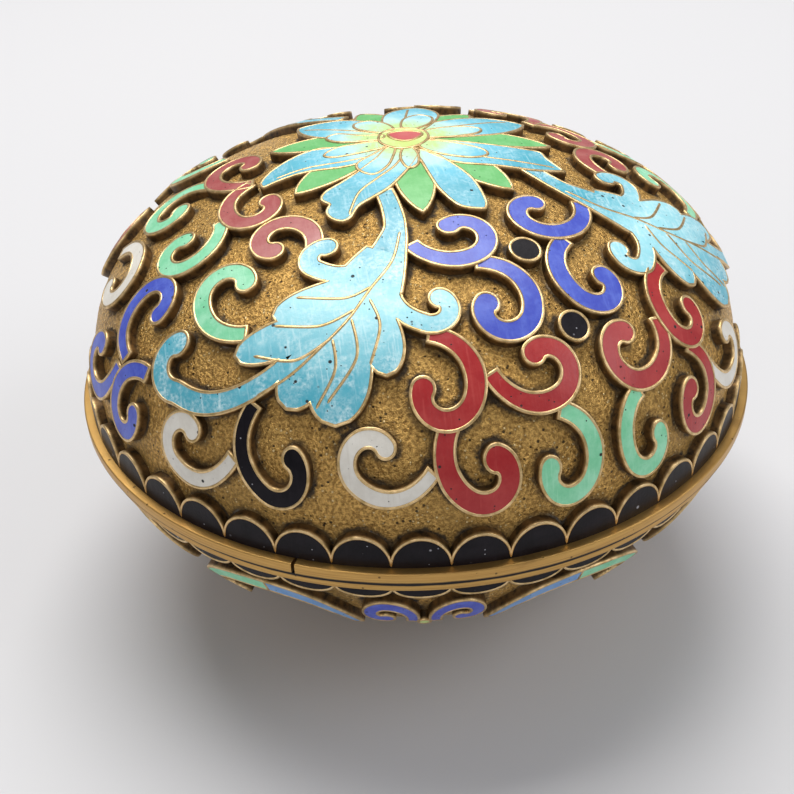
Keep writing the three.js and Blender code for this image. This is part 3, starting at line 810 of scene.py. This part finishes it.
class Finish:
    """One material and the nodes that make it."""

    def __init__(self, name):
        self.material = bpy.data.materials.new(name)
        self.material.use_nodes = True
        self.tree = self.material.node_tree
        self.surface = self.tree.nodes["Principled BSDF"]

    def node(self, kind, settings=None, inputs=None, output=0):
        node = self.tree.nodes.new(kind)
        for name, value in (settings or {}).items():
            if name == "stops":
                ramp = node.color_ramp
                while len(ramp.elements) > 1:
                    ramp.elements.remove(ramp.elements[-1])
                for i, (position, colour) in enumerate(value):
                    element = ramp.elements[0] if i == 0 else ramp.elements.new(position)
                    element.position = position
                    element.color = (*colour, 1)
            else:
                setattr(node, name, value)
        for key, value in (inputs or {}).items():
            self.feed(node.inputs[key], value)
        return Signal(self, node.outputs[output])

    def feed(self, socket, value):
        if isinstance(value, Signal):
            self.tree.links.new(value.socket, socket)
        elif isinstance(value, (tuple, list)) and len(value) == 3 and len(socket.default_value) == 4:
            socket.default_value = (*value, 1)
        else:
            socket.default_value = value

    def set(self, **values):
        for name, value in values.items():
            self.feed(self.surface.inputs[name.replace("_", " ")], value)

    def place(self, scale=(1, 1, 1), turn=0.0):
        """Where a point lies on the object, in millimetres, stretched by scale."""
        where = self.node("ShaderNodeTexCoord", output="Object")
        settings = {"vector_type": "POINT"}
        stretch = tuple(k / MM for k in scale)
        where = self.node("ShaderNodeMapping", settings, {"Vector": where, "Rotation": (0, 0, rad(turn))})
        return self.node("ShaderNodeMapping", settings, {"Vector": where, "Scale": stretch})

    def noise(self, where, scale, detail=2.0, roughness=0.5):
        inputs = {"Vector": where, "Scale": scale, "Detail": detail, "Roughness": roughness}
        return self.node("ShaderNodeTexNoise", {}, inputs)

    def spots(self, where, scale, size, share):
        """Round spots: 1 in the middle of a share of the cells."""
        settings = {"feature": "F1"}
        inputs = {"Vector": where, "Scale": scale, "Randomness": 1.0}
        gap = self.node("ShaderNodeTexVoronoi", settings, inputs, output="Distance")
        tint = self.node("ShaderNodeTexVoronoi", settings, inputs, output="Color")
        pick = self.node("ShaderNodeSeparateColor", {}, {"Color": tint})
        return (1 - gap.between(size * 0.6, size)) * pick.between(1 - share, 1 - share + 0.02)

    def value(self, name):
        return self.node("ShaderNodeAttribute", {"attribute_name": name}, output="Fac")

    def mix(self, share, first, second):
        settings = {"data_type": "RGBA", "clamp_factor": True}
        return self.node("ShaderNodeMix", settings, {0: share, 6: first, 7: second}, output=2)

    def ramp(self, share, stops):
        return self.node("ShaderNodeValToRGB", {"stops": stops}, {"Fac": share})

    def bump(self, height, distance, strength=1.0):
        inputs = {"Height": height, "Distance": distance * MM, "Strength": strength}
        self.set(Normal=self.node("ShaderNodeBump", {}, inputs))


def scratches(finish, turn=-9.0, across=4.2, along=0.3):
    """Fine straight polishing marks, all one way."""
    return finish.noise(finish.place((across, along, along), turn), 1.0, 3.0, 0.6)


FINISHES = [
    "blue", "red", "rose", "mint", "white", "black", "leaf", "leaf_green", "petal", "yellow_green",
    "heart_red", "pale_blue",
]


def enamel(
    name, deep, light, cloud, pits=0.12, pit_colour=(0.01, 0.01, 0.012), stops=None, streak=0.3, gloss=0.5
):
    """Polished glass enamel: clouded colour, small pits and polishing marks."""
    finish = Finish("enamel_" + name)
    where = finish.place()
    clouds = finish.noise(where, 0.55, 4.0, 0.6).between(0.35, 0.7)
    fine = finish.noise(where, 3.2, 3.0, 0.6).between(0.3, 0.75)
    marks = scratches(finish)
    if stops:
        fade = finish.value("fade") + (finish.noise(where, 0.45, 3.0, 0.6) - 0.5) * 0.35
        colour = finish.ramp(fade, stops)
        colour = finish.mix(clouds * fine * cloud, colour, light)
    else:
        colour = finish.mix(clouds * cloud + fine * (cloud * 0.3), tuple(deep), light)
    pit = finish.spots(where, 1.1, 0.2, pits)
    small = finish.spots(where, 2.7, 0.22, pits * 0.8)
    holes = finish.node("ShaderNodeMath", {"operation": "MAXIMUM"}, {0: pit, 1: small})
    streaks = marks.between(0.54, 0.7)
    colour = finish.mix(streaks * streak, colour, light)
    colour = finish.mix(holes, colour, pit_colour)
    finish.set(Base_Color=colour, Metallic=0.0, IOR=1.5, Specular_IOR_Level=gloss)
    finish.set(Roughness=0.22 + marks * 0.3 + holes * 0.3)
    finish.bump(marks * 0.012 + fine * 0.006 - holes * 0.06, 1.0, 0.8)
    return finish.material


def gilt_ground(colours, name="gilt_ground", darkening=0.0):
    """Stippled gilding with bright grains and painted glints, painted shade between the grains, dark specks,
    and tarnish mixed with painted shade in the corners by the cells.
    """
    finish = Finish(name)
    where = finish.place()
    corner = finish.value("corner")
    grains = finish.noise(where, 3.4, 3.0, 0.65)
    coarse = finish.noise(where, 0.16, 3.0, 0.6)
    # The grains' low parts, the same noise as the bump, take the darker gold: painted shade between the
    # grains, with some uneven tone of the gilding.
    gold = finish.mix(grains.between(0.35, 0.68), tuple(colours.gilt_painted_shade), tuple(colours.gilt))
    gold = finish.mix(coarse.between(0.35, 0.7) * 0.45, gold, (0.30, 0.19, 0.06))
    # Bright spots painted on the ground: painted glints, highlights of the stipple.
    painted_glints = finish.spots(where, 2.6, 0.3, 0.3)
    gold = finish.mix(painted_glints * 0.8, gold, (1.0, 0.80, 0.42))
    specks = finish.spots(where, 1.9, 0.26, 0.3)
    gold = finish.mix(specks * 0.85, gold, (0.035, 0.028, 0.02))
    rough_edge = finish.noise(where, 0.9, 4.0, 0.7)
    # Tarnish near the cells' edges, at the foot of the raised cells: partly patina, partly painted shade
    # cast by the cells.
    tarnish_and_shade = (corner + (rough_edge - 0.5) * 1.2).between(0.34, 0.74)
    patches = finish.noise(where, 0.28, 2.0, 0.5).between(0.4, 0.6)
    tarnish_and_shade = tarnish_and_shade * (0.5 + patches * 0.5) + darkening * patches
    gold = finish.mix(tarnish_and_shade * 0.92, gold, tuple(colours.tarnish_and_shade))
    dust = corner.between(0.55, 0.95) * finish.noise(where, 0.35, 3.0, 0.6).between(0.6, 0.72)
    gold = finish.mix(dust * 0.6, gold, (0.42, 0.42, 0.40))
    finish.set(Base_Color=gold, Metallic=0.8 - tarnish_and_shade * 0.65 - dust * 0.3, Roughness=0.4 + tarnish_and_shade * 0.3)
    finish.bump(grains * 0.3 + painted_glints * 0.12 - specks * 0.14, 1.0, 1.0)
    return finish.material


def wire_gilt(colours):
    """Polished wire tops; their sides go darker towards the ground: painted shade down the cell walls, with
    some patina at their foot.
    """
    finish = Finish("wire_gilt")
    where = finish.place()
    down = finish.value("down")
    wear = finish.noise(where, 1.3, 4.0, 0.65)
    bright = finish.mix(wear.between(0.35, 0.7), tuple(colours.wire), (0.50, 0.34, 0.14))
    # The wall sides go from dark brown to near black towards the ground: painted shade, partly patina at the
    # foot.
    side = finish.mix(wear.between(0.3, 0.75), (0.20, 0.11, 0.035), (0.02, 0.014, 0.009))
    gold = finish.mix(down.between(0.08, 0.5), bright, side)
    marks = finish.noise(where, 6.0, 3.0, 0.6)
    finish.set(Base_Color=gold, Metallic=0.95 - down * 0.5, Roughness=0.3 + marks * 0.2 + down * 0.2)
    finish.bump(marks * 0.02, 1.0, 0.6)
    return finish.material


def brushed_brass(name, colour, plain_height, darkest_height):
    """Satin brass, brushed round the ring. It goes darker from the first height to the second (mm), towards
    the parting line.
    """
    finish = Finish(name)
    where = finish.place()
    parts = finish.node("ShaderNodeSeparateXYZ", {}, {"Vector": where})
    x = parts
    y = Signal(finish, parts.socket.node.outputs[1])
    z = Signal(finish, parts.socket.node.outputs[2])
    round_ring = y.maths("ARCTAN2", y, x) * LID_BAND_HIGH.x
    along = finish.node("ShaderNodeCombineXYZ", {}, {0: round_ring * 0.12, 1: z * 9.0, 2: 0.0})
    lines = finish.noise(along, 1.0, 4.0, 0.65)
    wide = finish.node("ShaderNodeCombineXYZ", {}, {0: round_ring * 0.25, 1: z * 1.4, 2: 0.0})
    stain = finish.noise(wide, 1.0, 4.0, 0.6)
    gold = finish.mix(lines.between(0.3, 0.7), colour, (0.46, 0.26, 0.08))
    gold = finish.mix(stain.between(0.55, 0.75) * 0.5, gold, (0.25, 0.14, 0.05))
    specks = finish.spots(where, 1.3, 0.16, 0.25)
    gold = finish.mix(specks * 0.7, gold, (0.05, 0.03, 0.02))
    # Darker towards the parting line between lid and bowl.
    edge = (z - plain_height) / (darkest_height - plain_height) + (stain - 0.5) * 0.8
    darkening = edge.between(0.3, 0.8)
    gold = finish.mix(darkening, gold, (0.008, 0.006, 0.005))
    finish.set(Base_Color=gold, Metallic=0.95 - darkening * 0.9, Roughness=0.3 + lines * 0.22 + darkening * 0.3)
    finish.bump(lines * 0.02 - specks * 0.04, 1.0, 0.7)
    return finish.material


def enamels(colours):
    """Every enamel, in the order of FINISHES."""
    turquoise, pale = colours.turquoise, colours.pale_turquoise
    leaf_stops = [(0.0, turquoise), (0.35, turquoise), (0.62, pale), (1.0, turquoise)]
    petal_stops = [
        (0.0, colours.yellow_green), (0.26, (0.55, 0.78, 0.30)), (0.4, (0.50, 0.80, 0.78)),
        (0.56, (0.16, 0.56, 0.72)), (0.85, turquoise), (1.0, turquoise),
    ]
    recipes = {
        "blue": dict(deep=colours.blue, light=(0.13, 0.20, 0.70), cloud=0.5),
        "red": dict(deep=colours.red, light=(0.52, 0.06, 0.05), cloud=0.4, pits=0.18, streak=0.4),
        "rose": dict(deep=(0.34, 0.045, 0.045), light=(0.46, 0.15, 0.13), cloud=0.6, pits=0.1),
        "mint": dict(deep=colours.mint, light=(0.45, 0.85, 0.60), cloud=0.5, pits=0.14),
        "white": dict(deep=colours.white, light=(0.62, 0.58, 0.50), cloud=0.5, pits=0.1),
        "black": dict(
            deep=colours.black, light=(0.018, 0.014, 0.019), cloud=0.4, pits=0.06,
            pit_colour=(0.35, 0.35, 0.38), streak=0.25, gloss=0.14),
        "leaf": dict(
            deep=turquoise, light=(0.72, 0.93, 0.96), cloud=0.85, pits=0.14, stops=leaf_stops, streak=0.35),
        "leaf_green": dict(deep=colours.leaf_green, light=(0.25, 0.62, 0.25), cloud=0.5, pits=0.06),
        "petal": dict(deep=turquoise, light=(0.62, 0.86, 0.92), cloud=0.55, pits=0.08, stops=petal_stops),
        "yellow_green": dict(deep=colours.yellow_green, light=(0.8, 0.9, 0.5), cloud=0.4, pits=0.05),
        "heart_red": dict(deep=(0.55, 0.08, 0.09), light=(0.65, 0.2, 0.18), cloud=0.4, pits=0.05),
        "pale_blue": dict(deep=(0.13, 0.30, 0.62), light=(0.25, 0.45, 0.75), cloud=0.6, pits=0.1),
    }
    return [enamel(name, **recipes[name]) for name in FINISHES]


# ---- settings --------------------------------------------------------------------------------------
def length(name, description, default):
    return FloatProperty(name=name, description=description + ", mm", default=default)


class BoxSizes(bpy.types.PropertyGroup):
    relief: length("Relief", "Height of the cells above the ground", 0.85)
    wire_width: length("Wire width", "Width of a cell's wire", 0.29)
    wire_proud: length("Wire height", "Rise of a wire above the enamel", 0.035)
    wall: length("Wall", "Brass wall under the ground", 0.9)
    lid_lappet: length("Lid tongue", "Length of the lid's border tongues", 2.9)
    bowl_lappet: length("Bowl tongue", "Length of the bowl's border tongues", 1.5)
    joint_gap: length("Joint gap", "Width of the open joint in the lid's band", 0.3)
    around: IntProperty(name="Steps round", description="Steps round the turned shells", default=400, min=64)
    rings: IntProperty(name="Rings", description="Rings from the crown to the edge", default=150, min=24)
    foot_radius: length("Foot radius", "Outside of the ring foot", 14.2)
    foot_wall: length("Foot wall", "Thickness of the ring foot", 1.2)
    foot_height: length("Foot height", "Height of the ring foot", 0.9)
    base_height: length("Base height", "Rise of the base inside the foot", 0.6)


def colour_setting(name, description, default):
    return FloatVectorProperty(
        name=name, description=description, subtype="COLOR", size=3, default=default, min=0, max=1
    )


class BoxColours(bpy.types.PropertyGroup):
    gilt: colour_setting("Gilt", "Bright gilding of the ground", (0.86, 0.53, 0.16))
    # This gilt shade colour is painted shade in the hollows between the grains.
    gilt_painted_shade: colour_setting("Gilt shade", "Gilding between the grains", (0.34, 0.19, 0.05))
    # This tarnish colour is partly patina and partly painted shade at the foot of the cells.
    tarnish_and_shade: colour_setting("Tarnish", "Dark tarnish in the corners", (0.02, 0.014, 0.01))
    wire: colour_setting("Wire", "Polished wire", (0.80, 0.58, 0.30))
    band: colour_setting("Band", "Plain rim bands", (0.62, 0.38, 0.12))
    blue: colour_setting("Blue", "Blue enamel", (0.045, 0.07, 0.48))
    red: colour_setting("Red", "Red enamel", (0.36, 0.010, 0.013))
    mint: colour_setting("Mint green", "Light green enamel", (0.19, 0.62, 0.34))
    white: colour_setting("White", "White enamel", (0.80, 0.77, 0.70))
    black: colour_setting("Black", "Black enamel", (0.004, 0.003, 0.005))
    turquoise: colour_setting("Turquoise", "Turquoise enamel", (0.07, 0.40, 0.52))
    pale_turquoise: colour_setting("Pale turquoise", "Turquoise enamel where it is thin", (0.38, 0.78, 0.86))
    leaf_green: colour_setting("Leaf green", "Green enamel between the petals", (0.12, 0.46, 0.13))
    yellow_green: colour_setting("Yellow green", "Enamel round the flower's heart", (0.58, 0.74, 0.20))
    floor: colour_setting("Floor", "Plain floor", (0.62, 0.62, 0.635))


# ---- operators -------------------------------------------------------------------------------------
def ground_profile(shell, rings, depth):
    """Radius and height from the crown to the edge, sunk by depth."""
    arc = shell.length * np.linspace(0, 1, rings + 1)
    r, z = shell.section(arc, depth)
    z[-1] = shell.edge
    return np.stack([r, z], axis=1)


class BOX_OT_lid(bpy.types.Operator):
    """Build the domed lid with its ground, enamel and wires"""

    bl_idname = "box.lid"
    bl_label = "Lid"

    def execute(self, context):
        sizes, colours = context.scene.box_sizes, context.scene.box_colours
        relief = Relief(DOME, sizes)
        flower(relief)
        for change in (same, mirrored, turned(BACK_LEAF_TURN)):
            leaf(relief, change)
        for i, row in enumerate(SCROLLS + SIDE_SCROLLS):
            relief.scroll(row, same, 0.004 * (i % 5))
        for i, row in enumerate(SIDE_SCROLLS):
            if i < 4 or relief.fits(row, mirrored, -1.0, sizes.lid_lappet + 0.4):
                relief.scroll(row, mirrored, 0.004 * (i % 5))
        for change in (flipped(BACK_LINE), *map(turned, BACK_TURNS)):
            for i, row in enumerate(SIDE_SCROLLS + SCROLLS):
                if relief.fits(row, change, BACK_GAP, sizes.lid_lappet + 0.5):
                    relief.scroll(row, change, 0.004 * (i % 5))
        for x, y in STUDS:
            relief.cell("black", [circle(x, y, STUD_RADIUS, 32)])
        lappets(relief, sizes.lid_lappet)
        outer = ground_profile(DOME, sizes.rings, sizes.relief)
        inner = ground_profile(DOME, INNER_RINGS, sizes.relief + sizes.wall)
        profile = np.vstack([inner, outer[::-1]])
        stippled_shell("lid_body", profile, relief, gilt_ground(colours), "lid", sizes.around)
        relief.enamel.build("lid_enamel", enamels(colours), "fade", "lid", None)
        relief.wire.build("lid_wires", [wire_gilt(colours)], "down", "lid", "gilt_ground")
        return {"FINISHED"}


class BOX_OT_lid_band(bpy.types.Operator):
    """Build the plain band round the lid, with its open butt joint"""

    bl_idname = "box.lid_band"
    bl_label = "Lid band"

    def execute(self, context):
        sizes, colours = context.scene.box_sizes, context.scene.box_colours
        outer = LID_BAND_HIGH.y
        inner = DOME.r[-1] - sizes.relief - sizes.wall
        low, high = LID_BAND_LOW.z, LID_BAND_HIGH.z
        section = rounded([(inner, low), (outer, low), (outer, high), (inner, high)], BAND_ROUNDING)
        gap = math.degrees(sizes.joint_gap / outer)
        points, faces = turned_mesh(section, 360, JOINT_ANGLE + gap / 2, 360 - gap, close_profile=True)
        material = brushed_brass("band_brass", tuple(colours.band), low + 0.32, low)
        piece_from("lid_band", points, faces, material, "lid_rim_band")
        return {"FINISHED"}


class BOX_OT_bowl(bpy.types.Operator):
    """Build the bowl with its foot, ground, enamel and wires"""

    bl_idname = "box.bowl"
    bl_label = "Bowl"

    def execute(self, context):
        sizes, colours = context.scene.box_sizes, context.scene.box_colours
        relief = Relief(BOWL, sizes)
        lappets(relief, sizes.bowl_lappet)
        for k in range(BOWL_PAIRS):
            middle = BOWL_PAIR_PHASE + k * 360 / BOWL_PAIRS
            for side in (-1, 1):
                bowl_half(relief, middle, side)
            bead = circle(0, BOWL_BEAD_DEPTH, BOWL_BEAD_RADIUS, 24)
            relief.cell("yellow_green", [on_bowl(bead, middle, 1)], 0.03)
        outer = ground_profile(BOWL, sizes.rings, sizes.relief)
        inner = ground_profile(BOWL, INNER_RINGS, sizes.relief + sizes.wall)
        foot, well = sizes.foot_radius, sizes.foot_radius - sizes.foot_wall
        floor = sizes.foot_height + sizes.wall
        wall = outer[(outer[:, 0] > foot) & (outer[:, 1] > sizes.foot_height)]
        lining = inner[(inner[:, 1] > floor + sizes.wall)]
        under = [
            (0, sizes.base_height), (well - 0.1, sizes.base_height), (well, sizes.base_height - 0.1),
            (well, FOOT_ROUNDING), (well + FOOT_ROUNDING, 0), (foot - FOOT_ROUNDING, 0),
            (foot, FOOT_ROUNDING), (foot, sizes.foot_height),
        ]
        top = [(well + 0.6, floor + 0.12), (well, floor), (0, floor)]
        profile = np.vstack([under, wall, lining[::-1], top])
        material = gilt_ground(colours, "bowl_ground", 0.35)
        stippled_shell("bowl_body", profile, relief, material, "bowl", sizes.around)
        relief.enamel.build("bowl_enamel", enamels(colours), "fade", "bowl", None)
        relief.wire.build("bowl_wires", [wire_gilt(colours)], "down", "bowl", "gilt_ground")
        return {"FINISHED"}


class BOX_OT_bowl_band(bpy.types.Operator):
    """Build the bowl's band with the collar that keeps the lid in place"""

    bl_idname = "box.bowl_band"
    bl_label = "Bowl band"

    def execute(self, context):
        sizes, colours = context.scene.box_sizes, context.scene.box_colours
        ledge = DOME.r[-1] - sizes.relief
        collar_outer = ledge - sizes.wall - COLLAR_CLEARANCE
        collar_inner = collar_outer - COLLAR_WALL
        outer = BOWL_BAND_HIGH.y
        low, high = BOWL_BAND_LOW.z, BOWL_BAND_HIGH.z
        seat = LID_BAND_LOW.z
        corners = [
            (collar_inner, low), (outer, low), (outer, seat - PARTING_GAP), (ledge, seat - PARTING_GAP),
            (ledge, seat), (collar_outer, seat), (collar_outer, high), (collar_inner, high),
        ]
        section = rounded(corners, BAND_ROUNDING)
        points, faces = turned_mesh(section, 360, close_profile=True)
        material = brushed_brass("bowl_band_brass", tuple(colours.band), low + 0.45, seat - 0.5)
        piece_from("bowl_band", points, faces, material, "bowl_rim_band")
        return {"FINISHED"}


def softbox(name, place, aim, energy, size, colour):
    """A rectangular light; place and size in metres, energy in watts."""
    data = bpy.data.lights.new(name, "AREA")
    data.energy = energy
    data.color = colour
    data.shape = "RECTANGLE"
    data.size, data.size_y = size
    lamp = bpy.data.objects.new(name, data)
    bpy.context.scene.collection.objects.link(lamp)
    lamp.location = place
    lamp.rotation_euler = (Vector(aim) - Vector(place)).to_track_quat("-Z", "Y").to_euler()


class BOX_OT_stage(bpy.types.Operator):
    """Make the floor, the studio light and the camera"""

    bl_idname = "box.stage"
    bl_label = "Stage"

    def execute(self, context):
        colours = context.scene.box_colours
        mesh = bpy.data.meshes.new("floor")
        corners = [(x * FLOOR_HALF, y * FLOOR_HALF, 0) for x, y in ((-1, -1), (1, -1), (1, 1), (-1, 1))]
        mesh.from_pydata(corners, [], [(0, 1, 2, 3)])
        finish = Finish("floor_paper")
        tone = finish.noise(finish.place(), 0.01, 2.0, 0.5)
        pale = tuple(colours.floor)
        finish.set(Base_Color=finish.mix(tone * 0.3, pale, tuple(k * 0.95 for k in pale)), Roughness=0.7)
        mesh.materials.append(finish.material)
        floor = bpy.data.objects.new("floor", mesh)
        context.scene.collection.objects.link(floor)

        world = bpy.data.worlds.new("studio")
        world.use_nodes = True
        background = world.node_tree.nodes["Background"]
        background.inputs["Color"].default_value = (0.86, 0.88, 0.93, 1)
        background.inputs["Strength"].default_value = 0.33
        context.scene.world = world
        context.scene.view_settings.view_transform = "Standard"
        middle = (CAD_BOX[0] + CAD_BOX[1]) / 2
        softbox("overhead_softbox", (-0.06, 0.26, 0.6), middle, 4.6, (0.5, 0.4), (1.0, 0.98, 0.95))
        softbox("side_softbox", (0.5, -0.1, 0.4), middle, 1.1, (0.35, 0.35), (0.95, 0.97, 1.0))
        softbox("front_softbox", (-0.18, -0.6, 0.42), middle, 0.8, (0.4, 0.3), (1.0, 0.97, 0.93))

        eye, target, roll = Vector(CAMERA_EYE), Vector(CAMERA_TARGET), CAMERA_ROLL
        forward = (target - eye).normalized()
        right = forward.cross(Vector((0, 0, 1))).normalized()
        up = right.cross(forward)
        side = right * math.cos(roll) + up * math.sin(roll)
        top = right * -math.sin(roll) + up * math.cos(roll)
        camera = bpy.data.cameras.new("camera")
        camera.sensor_width = 36
        camera.lens = CAMERA_LENS
        camera.clip_start = 0.005
        eyepiece = bpy.data.objects.new("camera", camera)
        context.scene.collection.objects.link(eyepiece)
        eyepiece.matrix_world = Matrix((
            (side.x, top.x, -forward.x, eye.x),
            (side.y, top.y, -forward.y, eye.y),
            (side.z, top.z, -forward.z, eye.z),
            (0, 0, 0, 1),
        ))
        context.scene.camera = eyepiece
        return {"FINISHED"}


OPERATORS = (BOX_OT_stage, BOX_OT_bowl, BOX_OT_bowl_band, BOX_OT_lid, BOX_OT_lid_band)


class BOX_PT_panel(bpy.types.Panel):
    """Lists the steps that build the box"""

    bl_idname = "BOX_PT_panel"
    bl_label = "Cloisonne Box"
    bl_space_type = "VIEW_3D"
    bl_region_type = "UI"
    bl_category = "Cloisonne Box"

    def draw(self, context):
        for operator in OPERATORS:
            self.layout.operator(operator.bl_idname)


CLASSES = (BoxSizes, BoxColours, *OPERATORS, BOX_PT_panel)


def register():
    for cls in CLASSES:
        bpy.utils.register_class(cls)
    bpy.types.Scene.box_sizes = PointerProperty(type=BoxSizes)
    bpy.types.Scene.box_colours = PointerProperty(type=BoxColours)


def unregister():
    del bpy.types.Scene.box_sizes
    del bpy.types.Scene.box_colours
    for cls in reversed(CLASSES):
        bpy.utils.unregister_class(cls)


def main():
    register()
    bpy.ops.box.stage()
    bpy.ops.box.bowl()
    bpy.ops.box.bowl_band()
    bpy.ops.box.lid()
    bpy.ops.box.lid_band()


if __name__ == "__main__":
    main()
